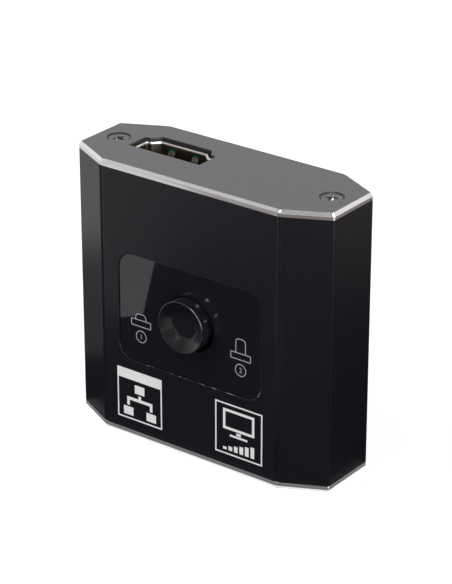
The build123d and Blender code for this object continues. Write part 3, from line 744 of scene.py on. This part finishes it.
def button_cap():
    """The cap: a dish in front, a rounded rim, and a hollow behind."""
    rim_y = cap_low.y
    back_y = cap_high.y
    floor_y = rim_y + BUTTON_DISH_DEPTH
    hollow_y = floor_y + 1.0 * MM
    edge = 0.2 * MM
    floor_blend = 0.5 * MM
    boss = 2.7 * MM
    lip = BUTTON_RADIUS - BUTTON_RIM_WIDTH
    inside = BUTTON_RADIUS - 0.9 * MM
    slope = atan2(BUTTON_DISH_DEPTH, lip - BUTTON_FLOOR_RADIUS)
    # The floor turns gently up into the sloping side of the dish
    bend = floor_blend / sin(slope)
    bend_start = BUTTON_FLOOR_RADIUS - floor_blend / 2
    profile = [(0, floor_y)]
    for step in range(7):
        turn = slope * step / 6
        profile.append((bend_start + bend * sin(turn), floor_y - bend * (1 - cos(turn))))
    # Rounded rim, inside and out
    inner = (lip + edge * 0.55, rim_y + edge)
    outer = (BUTTON_RADIUS - edge, rim_y + edge)
    profile += arc(inner, edge, pi + pi / 2 - slope, 3 * pi / 2, 6)[1:]
    profile += arc(outer, edge, 3 * pi / 2, 2 * pi, 6)
    # Back edge and hollow
    profile += [
        (BUTTON_RADIUS, back_y - edge / 2), (BUTTON_RADIUS - edge / 2, back_y),
        (inside + edge / 2, back_y), (inside, back_y - edge / 2),
        (inside, hollow_y + edge), (inside - edge, hollow_y), (boss, hollow_y), (0, hollow_y),
    ]
    data = lathe("button_cap", profile)
    smooth(data, 50)
    piece = link(
        "button_cap_dressed", data, "button", "button_black",
        MATERIALS["button_black"], SATIN_SHADED_DISH)
    # The dish's faces take the satin finish with its painted shade
    for polygon in data.polygons:
        away = hypot(polygon.center.x - BUTTON_X, polygon.center.z - BUTTON_Z)
        if away < lip - edge * 0.3 and polygon.center.y < floor_y + 0.1 * MM:
            polygon.material_index = DISH
    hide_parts("button_cap")


button_cap()


# Return spring: a wound wire with closed ends, made as it stands with the button out

def return_spring():
    """The spring as it stands with the button out."""
    low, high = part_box("switch_spring")
    turns, steps, around = 8, 28, 10
    wire = SPRING_WIRE_RADIUS
    radius = (high.x - low.x) / 2 - wire
    x, z = (low.x + high.x) / 2, (low.z + high.z) / 2
    length = high.y - low.y
    span = length - 2 * wire
    closed = 2.1 * wire
    rings = []
    for step in range(turns * steps + 1):
        turn = step / steps
        # The first and the last turn lie close to their neighbours, and the rest share the span
        lowest = closed * turn
        even = closed + (span - 2 * closed) * (turn - 1) / (turns - 2)
        highest = span - closed * (turns - turn)
        rise = min(max(lowest, even), highest) if turn > 1 else lowest
        ring = []
        for side in range(around):
            angle = 2 * pi * side / around
            reach = radius + wire * cos(angle)
            y = low.y + wire * (1 + sin(angle)) + rise
            ring.append((x + reach * cos(2 * pi * turn), y, z + reach * sin(2 * pi * turn)))
        rings.append(ring)
    data = tube("switch_spring", rings)
    smooth(data, 50)
    piece = link(
        "switch_spring_dressed", data, "case", "spring_steel", MATERIALS["spring_steel"])
    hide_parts("switch_spring")
    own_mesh(piece)


return_spring()


# Prints: thin ink on the panel and on the front face
INK_THICKNESS = 0.012 * MM
LINE = 0.18 * MM
LINE_CORNER = 0.06 * MM
SHARPEST_CORNER = 0.02 * MM
SHOULDER = 0.7 * MM
RING_RADIUS = 1.12 * MM
DIGIT_HEIGHT = 1.05 * MM
FONT_SIZE = DIGIT_HEIGHT * 1.37


def stamp(name, curve, y, material, slot):
    """Turns a curve or text drawn in X and Y into a mesh that stands at y, facing the front."""
    source = bpy.data.objects.new(name + "_source", curve)
    bpy.context.scene.collection.objects.link(source)
    bpy.context.view_layer.update()
    drawn = source.evaluated_get(bpy.context.evaluated_depsgraph_get())
    data = bpy.data.meshes.new_from_object(drawn)
    bpy.data.objects.remove(source)
    data.transform(Matrix.Translation((0, y, 0)) @ Matrix.Rotation(pi / 2, 4, "X"))
    data.materials.clear()
    return link(name, data, "case", slot, material)


def ink(name, loops, y, material, slot):
    """Flat ink made from closed loops of (x, z) points; a loop inside another cuts a hole."""
    curve = bpy.data.curves.new(name, "CURVE")
    curve.dimensions = "2D"
    curve.fill_mode = "BOTH"
    curve.extrude = INK_THICKNESS / 2
    for loop in loops:
        spline = curve.splines.new("POLY")
        spline.points.add(len(loop) - 1)
        for point, (x, z) in zip(spline.points, loop):
            point.co = (x, z, 0, 1)
        spline.use_cyclic_u = True
    stamp(name, curve, y - INK_THICKNESS / 2, material, slot)


def digit(name, text, x, z):
    """One plain number on the panel, centred at x and z."""
    curve = bpy.data.curves.new(name, "FONT")
    curve.body = text
    curve.align_x = "CENTER"
    curve.align_y = "CENTER"
    curve.size = FONT_SIZE
    curve.extrude = INK_THICKNESS / 2
    y = panel_low.y - INK_THICKNESS / 2
    data = stamp(name, curve, y, PRINT_GREY, "panel_gloss").data
    low = [min(v.co[axis] for v in data.vertices) for axis in (0, 2)]
    high = [max(v.co[axis] for v in data.vertices) for axis in (0, 2)]
    shift = (x - (low[0] + high[0]) / 2, 0, z - (low[1] + high[1]) / 2)
    data.transform(Matrix.Translation(shift))


def offset(corners, grow):
    """The corners, anticlockwise, moved out by grow."""
    moved = []
    count = len(corners)
    for index in range(count):
        before, corner, after = (
            Vector(corners[(index + step) % count]) for step in (-1, 0, 1)
        )
        first = (corner - before).normalized()
        second = (after - corner).normalized()
        normal = Vector((first.y, -first.x)) + Vector((second.y, -second.x))
        moved.append(corner + normal * grow / (1 + first.dot(second)))
    return moved


def band(corners):
    """A closed line along the corners' outline, as an outer and an inner loop."""
    return [
        round_corners(offset(corners, grow), max(LINE_CORNER + grow, SHARPEST_CORNER), 3)
        for grow in (LINE / 2, -LINE / 2)
    ]


def arch(left, right, low, high, radius):
    """An arch with rounded shoulders, from its lower right foot round to its lower left."""
    points = [(right, low)]
    for centre, first in ((right - radius, 0), (left + radius, pi / 2)):
        for step in range(9):
            turn = first + pi / 2 * step / 8
            points.append((centre + radius * cos(turn), high - radius * (1 - sin(turn))))
    points.append((left, low))
    return points


def pictogram(name, foot, cap, ring, number):
    """A button seen from the side, in or out, over its number in a ring. Foot is its left, right,
    low and high, cap its left, right and top, ring its middle, in millimetres from the middle."""
    left, right, low, high = (value * MM for value in foot)
    cap_left, cap_right, cap_top = (value * MM for value in cap)
    ring_x, ring_z = ring[0] * MM, MIDDLE_Z + ring[1] * MM
    base = MIDDLE_Z + high + LINE / 2
    loops = band(rectangle(left, right, MIDDLE_Z + low, MIDDLE_Z + high))
    outer, inner = (
        arch(cap_left - grow, cap_right + grow, base, MIDDLE_Z + cap_top + grow, SHOULDER + grow)
        for grow in (LINE / 2, -LINE / 2)
    )
    loops.append(outer + inner[::-1])
    for grow in (LINE / 2, -LINE / 2):
        loops.append(circle(ring_x, ring_z, RING_RADIUS + grow, 40))
    ink(name, loops, panel_low.y, PRINT_GREY, "panel_gloss")
    digit(name + "_number", number, ring_x, ring_z)


pictogram(
    "pressed_sign", foot=(-12.82, -8.48, -3.75, -2.52), cap=(-11.85, -9.55, -1.35),
    ring=(-10.66, -5.72), number="1")
pictogram(
    "raised_sign", foot=(9.2, 13.43, -3.75, -2.55), cap=(10.28, 12.34, 0.2),
    ring=(11.3, -5.75), number="2")


# Two plain signs under the panel: what the box does, and what it is for. Millimetres
FRAME_LINE = 0.28


def sign(name, *shapes):
    """White ink on the front face, from closed loops in millimetres from the middle."""
    loops = [[(x * MM, MIDDLE_Z + z * MM) for x, z in shape] for shape in shapes]
    ink(name, loops, FRONT_Y, PRINT_WHITE, "case_black")


def framed(left, right, low, high, ceiling):
    """A frame whose opening ends at the ceiling, so that the frame is solid above it."""
    line = FRAME_LINE
    opening = rectangle(left + line, right - line, low + line, ceiling)
    return [rectangle(left, right, low, high), opening]


def routing_sign():
    """Three boxes joined by a fork: one over two."""
    left, right, low, high = -16.2, -6.05, -22.9, -12.9
    middle = (left + right) / 2
    title = 2.0
    bar = 0.3
    reach = 2.6
    box = 1.1
    fork_foot, fork_under, fork_over, fork_top = -20.1, -19.0, -18.4, -17.75
    half = [
        (reach + bar, fork_foot), (reach + bar, fork_over), (bar, fork_over), (bar, fork_top),
    ]
    inside = [
        (bar - reach, fork_foot), (bar - reach, fork_under),
        (reach - bar, fork_under), (reach - bar, fork_foot),
    ]
    fork = [(middle + x, z) for x, z in half]
    fork += [(middle - x, z) for x, z in reversed(half)]
    fork += [(middle + x, z) for x, z in inside]
    boxes = [rectangle(middle - box, middle + box, -17.4, -15.7)]
    for x in (middle - reach, middle + reach):
        boxes.append(rectangle(x - box, x + box, -22.1, -20.45))
    sign("routing_sign", *framed(left, right, low, high, high - title), fork, *boxes)


def screen_sign():
    """A screen on its stand, over a row of bars that grow."""
    left, right, low, high = 5.9, 16.15, -23.0, -12.9
    middle = (left + right) / 2
    screen = 3.4
    # Half width, low and high of the screen, its opening, its neck and its foot
    parts = (
        (screen, -18.0, -14.0), (screen - 0.5, -17.5, -14.5), (0.5, -18.7, -18.2),
        (1.9, -19.25, -18.85),
    )
    bars, bar_pitch, bar_width = 6, 1.2, 0.8
    bar_low, first_top, growth = -22.1, -21.6, 0.33
    shapes = framed(left, right, low, high, high - FRAME_LINE)
    for half, part_low, part_high in parts:
        shapes.append(rectangle(middle - half, middle + half, part_low, part_high))
    for index in range(bars):
        start = middle - screen + index * bar_pitch
        top = first_top + growth * index
        shapes.append(rectangle(start, start + bar_width, bar_low, top))
    sign("screen_sign", *shapes)


routing_sign()
screen_sign()


# The recess's lower lip, with light flecks as a painted highlight where it catches the light

def lip_highlight():
    """A thin line round the recess's lower corners and along its lower edge."""
    width, height = 0.1 * MM, 0.012 * MM
    corner = PANEL_CORNER + PANEL_CLEARANCE
    centre_z = PANEL_Z - (PANEL_HEIGHT / 2 + PANEL_CLEARANCE) + corner
    from_middle = PANEL_WIDTH / 2 + PANEL_CLEARANCE - corner
    section = ((0, 0), (0, -height), (width, -height), (width, 0))
    rings = []
    for centre_x, first in ((PANEL_X - from_middle, pi), (PANEL_X + from_middle, 3 * pi / 2)):
        for step in range(13):
            turn = first + pi / 2 * step / 12
            across, up = cos(turn), sin(turn)
            rings.append([
                (centre_x + (corner + out) * across, FRONT_Y + y, centre_z + (corner + out) * up)
                for out, y in section
            ])
    link("lip_highlight", tube("lip_highlight", rings), "case", "case_black", LIP_HIGHLIGHT)


lip_highlight()


# Studio
FLOOR_REACH = 3.0
LIGHT_TARGET = Vector((0, 0, 0.03))
CAMERA_SIDE = Vector((
    sin(VIEW_AZIMUTH) * cos(VIEW_ELEVATION),
    -cos(VIEW_AZIMUTH) * cos(VIEW_ELEVATION),
    sin(VIEW_ELEVATION),
))


def stage_mesh(name, points, material):
    """A flat stage piece through the points."""
    data = bpy.data.meshes.new(name)
    data.from_pydata(points, [], [list(range(len(points)))])
    data.materials.append(material)
    piece = bpy.data.objects.new(name, data)
    bpy.context.scene.collection.objects.link(piece)
    return piece


def stage_material(name):
    """A material with an empty tree, that tree, and the socket for its surface."""
    material = bpy.data.materials.new(name)
    material.use_nodes = True
    tree = material.node_tree
    tree.nodes.clear()
    return material, tree, tree.nodes.new("ShaderNodeOutputMaterial").inputs["Surface"]


def emission(tree, strength, colour=WHITE):
    """A glow of the strength, which is a value or a link."""
    node = tree.nodes.new("ShaderNodeEmission")
    node.inputs["Color"].default_value = (*colour, 1.0)
    feed(tree, node.inputs["Strength"], strength)
    return node.outputs["Emission"]


def diffuse(tree, brightness):
    """A matt grey of the brightness."""
    node = tree.nodes.new("ShaderNodeBsdfDiffuse")
    node.inputs["Color"].default_value = (brightness, brightness, brightness, 1.0)
    return node.outputs["BSDF"]


def pale_floor():
    """Pale grey to the light that it sends on, and brighter to the camera and in mirrors."""
    material, tree, surface = stage_material("pale_floor")
    seen = tree.nodes.new("ShaderNodeAddShader")
    tree.links.new(diffuse(tree, 0.3), seen.inputs[0])
    tree.links.new(emission(tree, 0.82), seen.inputs[1])
    path = tree.nodes.new("ShaderNodeLightPath").outputs
    either = calculate(tree, "MAXIMUM", path["Is Camera Ray"], path["Is Glossy Ray"])
    mix = tree.nodes.new("ShaderNodeMixShader")
    tree.links.new(either, mix.inputs[0])
    tree.links.new(diffuse(tree, 0.8), mix.inputs[1])
    tree.links.new(seen.outputs[0], mix.inputs[2])
    tree.links.new(mix.outputs[0], surface)
    square = rectangle(-FLOOR_REACH, FLOOR_REACH, -FLOOR_REACH, FLOOR_REACH)
    stage_mesh("floor", [(x, y, 0) for x, y in square], material)


def world():
    """White to the camera, softer as a light, and in mirrors dimmer towards the front."""
    front = Vector((0.35, -0.93, 0.1)).normalized()
    scene_world = bpy.data.worlds.new("studio")
    bpy.context.scene.world = scene_world
    scene_world.use_nodes = True
    tree = scene_world.node_tree
    tree.nodes.clear()
    path = tree.nodes.new("ShaderNodeLightPath").outputs
    coordinates = tree.nodes.new("ShaderNodeTexCoord")
    towards = tree.nodes.new("ShaderNodeVectorMath")
    towards.operation = "DOT_PRODUCT"
    towards.inputs[1].default_value = front
    tree.links.new(coordinates.outputs["Generated"], towards.inputs[0])
    mirrored = remap(tree, towards.outputs["Value"], 1.0, 0.354, 0.07, 0.85)
    lit = blend(tree, path["Is Glossy Ray"], 0.6, mirrored)
    seen = calculate(tree, "MAXIMUM", path["Is Camera Ray"], path["Is Transmission Ray"])
    background = tree.nodes.new("ShaderNodeBackground")
    background.inputs["Color"].default_value = (*WHITE, 1.0)
    tree.links.new(blend(tree, seen, lit, 1.0), background.inputs["Strength"])
    output = tree.nodes.new("ShaderNodeOutputWorld")
    tree.links.new(background.outputs[0], output.inputs["Surface"])


def soft_light(name, position, size, power):
    """A square studio lamp of the size, in metres, that looks at the case."""
    data = bpy.data.lights.new(name, "AREA")
    data.size = size
    data.energy = power
    lamp = bpy.data.objects.new(name, data)
    bpy.context.scene.collection.objects.link(lamp)
    lamp.visible_glossy = False
    lamp.location = position
    ahead = LIGHT_TARGET - Vector(position)
    lamp.rotation_euler = ahead.to_track_quat("-Z", "Y").to_euler()


def camera():
    """The photograph's camera."""
    right = Vector((cos(VIEW_AZIMUTH), sin(VIEW_AZIMUTH), 0))
    up = CAMERA_SIDE.cross(right)
    data = bpy.data.cameras.new("camera")
    data.sensor_fit = "VERTICAL"
    data.sensor_height = SENSOR
    data.lens = FOCAL_PIXELS / IMAGE_HEIGHT * SENSOR
    data.clip_start = 0.01
    data.clip_end = 20.0
    item = bpy.data.objects.new("camera", data)
    bpy.context.scene.collection.objects.link(item)
    turn = Matrix((right, up, CAMERA_SIDE)).transposed().to_4x4()
    spot = Vector((0, 0, MIDDLE_Z))
    spot += CAMERA_SIDE * VIEW_DISTANCE + right * VIEW_RIGHT + up * VIEW_UP
    item.matrix_world = Matrix.Translation(spot) @ turn
    bpy.context.scene.camera = item


# What the case mirrors: a dark table, pale cards, a dim flag in front and small lamps.
# Places and sizes are in millimetres. The flat sheets lie one over another, just off the floor
TABLE_Z, SLIT_Z, STRIP_Z, CARD_Z = 0.05, 0.1, 0.15, 0.2
TABLE_EDGE = (
    (125, 60), (125, 140), (-120, 140), (-120, 60),
    (-120, -50), (-105, -116), (32, -116), (125, -60),
)
TABLE_CORNER = ((32, -116), (36, -190), (125, -190), (125, -60))
LIGHT_SLIT = ((28, -5.2), (28.4, -7.2), (120, -30), (120, -20))
# The pale card's near corner, how its two edges run from there, and the rest of its outline
CARD_CORNER = Vector((-43.5, -50.7))
CARD_EDGE_FRONT = Vector((-0.549, -0.836)) * 41
CARD_EDGE_BACK = Vector((-0.61, 0.79)) * 14
CARD_REST = ((-101, -28), (-101, 300), (-900, 300), (-900, -600), (-268, -600))
# The dim flag's posts: x, y, low and high
FLAG_POSTS = ((-30, -44, 40, 51), (0, -54, 32, 52), (24, -48, 28, 50))
# The rim lamp: directions round the rim and out of the front, in degrees
RIM_TURNS = (14, 26, 38, 50, 62)
RIM_TILTS = (24, 33)
RIM_DISTANCE = 140


def glowing(name, strength):
    """A material that glows white."""
    material, tree, surface = stage_material(name)
    tree.links.new(emission(tree, strength), surface)
    return material


def table_material():
    """Black near the case, and dim further out."""
    material, tree, surface = stage_material("dark_table")
    coordinates = tree.nodes.new("ShaderNodeTexCoord")
    away = tree.nodes.new("ShaderNodeVectorMath")
    away.operation = "LENGTH"
    tree.links.new(coordinates.outputs["Object"], away.inputs[0])
    strength = remap(tree, away.outputs["Value"], 0.0, 0.3, 0.085, 0.13)
    tree.links.new(emission(tree, strength, (1.0, 0.84, 0.79)), surface)
    return material


def mirror_piece(name, points, material):
    """A flat piece that shows in mirrors only."""
    piece = stage_mesh(name, [Vector(point) * MM for point in points], material)
    piece.visible_camera = False
    piece.visible_diffuse = False
    piece.visible_transmission = False
    piece.visible_volume_scatter = False
    piece.visible_shadow = False


def flat(points, z):
    """The points laid flat at z."""
    return [(x, y, z) for x, y in points]


def upright(left, right, y, low, high):
    """An upright rectangle that faces the front or the back."""
    return [(x, y, z) for x, z in rectangle(left, right, low, high)]


def ring_of_sheets(name, inner, outer, z, material):
    """Flat sheets between two closed outlines with as many corners each."""
    for index in range(len(inner)):
        following = (index + 1) % len(inner)
        loop = [inner[index], outer[index], outer[following], inner[following]]
        mirror_piece(f"{name}_{index}", flat(loop, z), material)


def square_card(name, centre, size, strength):
    """A small square card that faces the button."""
    middle = Vector(centre)
    ahead = (Vector((BUTTON_X, FRONT_Y, BUTTON_Z)) / MM - middle).normalized()
    across = ahead.cross(Vector((0, 0, 1))).normalized() * size / 2
    upward = across.cross(ahead).normalized() * size / 2
    corners = [middle - across - upward, middle + across - upward,
               middle + across + upward, middle - across + upward]
    mirror_piece(name, corners, glowing(name, strength))


def rim_lamp():
    """Sheets that the button's rounded rim mirrors as one long highlight on its upper right."""
    middle = Vector((BUTTON_X, cap_low.y, BUTTON_Z)) / MM
    material = glowing("rim_lamp", 26.0)
    rows = []
    for turn in RIM_TURNS:
        row = []
        for tilt in RIM_TILTS:
            out, across = sin(radians(tilt)), cos(radians(tilt))
            normal = Vector((across * cos(radians(turn)), -out, across * sin(radians(turn))))
            mirrored = normal * CAMERA_SIDE.dot(normal) * 2 - CAMERA_SIDE
            row.append(middle + mirrored * RIM_DISTANCE)
        rows.append(row)
    for index, (low, high) in enumerate(zip(rows, rows[1:])):
        mirror_piece(f"rim_lamp_{index}", [low[0], low[1], high[1], high[0]], material)


def dim_flag():
    """Two upright sheets between the flag's posts."""
    material = glowing("dim_flag", 0.25)
    for index, (left, right) in enumerate(zip(FLAG_POSTS, FLAG_POSTS[1:])):
        corners = [left[:3], right[:3], (*right[:2], right[3]), (*left[:2], left[3])]
        mirror_piece(f"dim_flag_{index}", corners, material)


def reflections():
    """Everything that only shows in the case's faces and edges."""
    near = [(x / MM, y / MM) for x, y in case_corners(-0.3 * MM)]
    beside = [(x / MM, y / MM) for x, y in case_corners(-2.6 * MM)]
    table = table_material()
    ring_of_sheets("foot_strip", near, beside, TABLE_Z, glowing("foot_strip", 0.28))
    ring_of_sheets("dark_table", beside, TABLE_EDGE, TABLE_Z, table)
    mirror_piece("dark_table_front", flat(TABLE_CORNER, TABLE_Z), table)
    pale_outline = [
        CARD_CORNER, CARD_CORNER + CARD_EDGE_BACK, *CARD_REST, CARD_CORNER + CARD_EDGE_FRONT,
    ]
    sheets = {
        "light_slit": (flat(LIGHT_SLIT, SLIT_Z), 0.7),
        "pale_card": (flat(pale_outline, CARD_Z), 0.95),
        "shade_card": (upright(-30, 45, -45, 60, 74), 0.5),
        "tall_card": (upright(-14, 22, -125, 0.1, 200), 1.6),
        "facet_strip": (flat(rectangle(-101, -48, -28, 100), STRIP_Z), 0.2),
    }
    for name, (points, strength) in sheets.items():
        mirror_piece(name, points, glowing(name, strength))
    square_card("low_card", centre=(15.5, -31, 15), size=16, strength=1.2)
    square_card("right_lamp", centre=(199.5, -237, 64.5), size=28, strength=55.0)
    square_card("upper_lamp", centre=(5.7, -82.5, 90.7), size=14, strength=65.0)
    rim_lamp()
    dim_flag()


pale_floor()
world()
camera()
reflections()
soft_light("key", (-0.5, -0.45, 0.75), size=0.5, power=6.0)
soft_light("fill", (0.6, -0.5, 0.5), size=0.5, power=2.0)

scene = bpy.context.scene
scene.view_settings.view_transform = "Standard"
